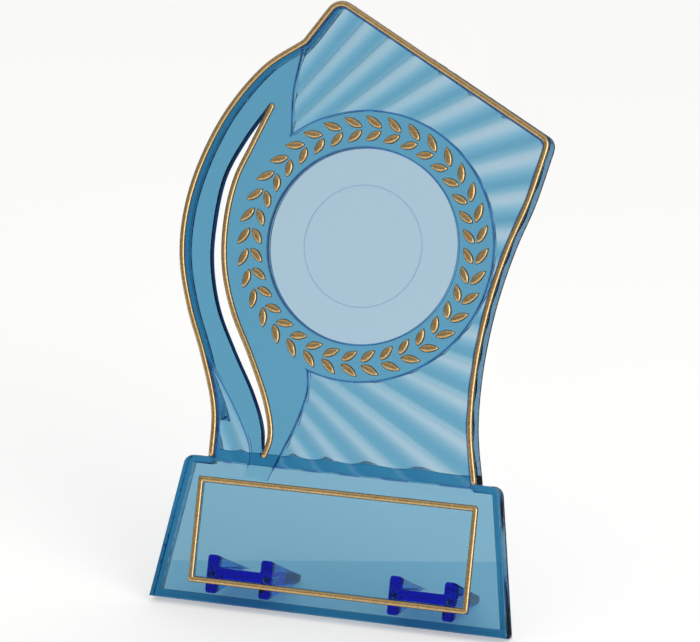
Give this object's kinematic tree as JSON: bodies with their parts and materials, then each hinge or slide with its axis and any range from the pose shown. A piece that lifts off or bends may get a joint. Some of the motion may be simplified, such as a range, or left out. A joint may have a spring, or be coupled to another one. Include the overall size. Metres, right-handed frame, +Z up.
{
  "type": "leaning plaque trophy",
  "caption": "Small leaning award plaque in clear blue plastic with gilded edges and wreath, a round seat for a centre disc, a nameplate frame and two push-on feet.",
  "frame": {"origin": "bottom centre of the standing trophy's bounding box, on the surface that it stands on", "axes": "+Z up, -Y towards the viewer, who sees the gilded face; +X to the viewer's right; the face leans back about 16 degrees towards +Y"},
  "size_m": [0.0968, 0.049, 0.1523],
  "materials": {
    "blue_plastic": "polished translucent blue moulding",
    "gold_foil": "hot-stamped gold foil on raised moulded beads",
    "foot_plastic": "polished translucent blue moulding"
  },
  "bodies": {
    "plaque": {"plaque_shell": "blue_plastic", "edge_gilding": "gold_foil", "slot_gilding": "gold_foil", "nameplate_frame_gilding": "gold_foil", "outer_leaf_gilding": "gold_foil", "inner_leaf_gilding": "gold_foil"},
    "foot_left": {"left_foot": "foot_plastic"},
    "foot_right": {"right_foot": "foot_plastic"}
  },
  "joints": [
    {"name": "left_foot_pull", "type": "slide", "parent": "plaque", "child": "foot_left", "axis": [0, 0.9608, -0.2773], "range_m": [0, 0.0075]},
    {"name": "right_foot_pull", "type": "slide", "parent": "plaque", "child": "foot_right", "axis": [0, 0.9608, -0.2773], "range_m": [0, 0.0075]}
  ]
}
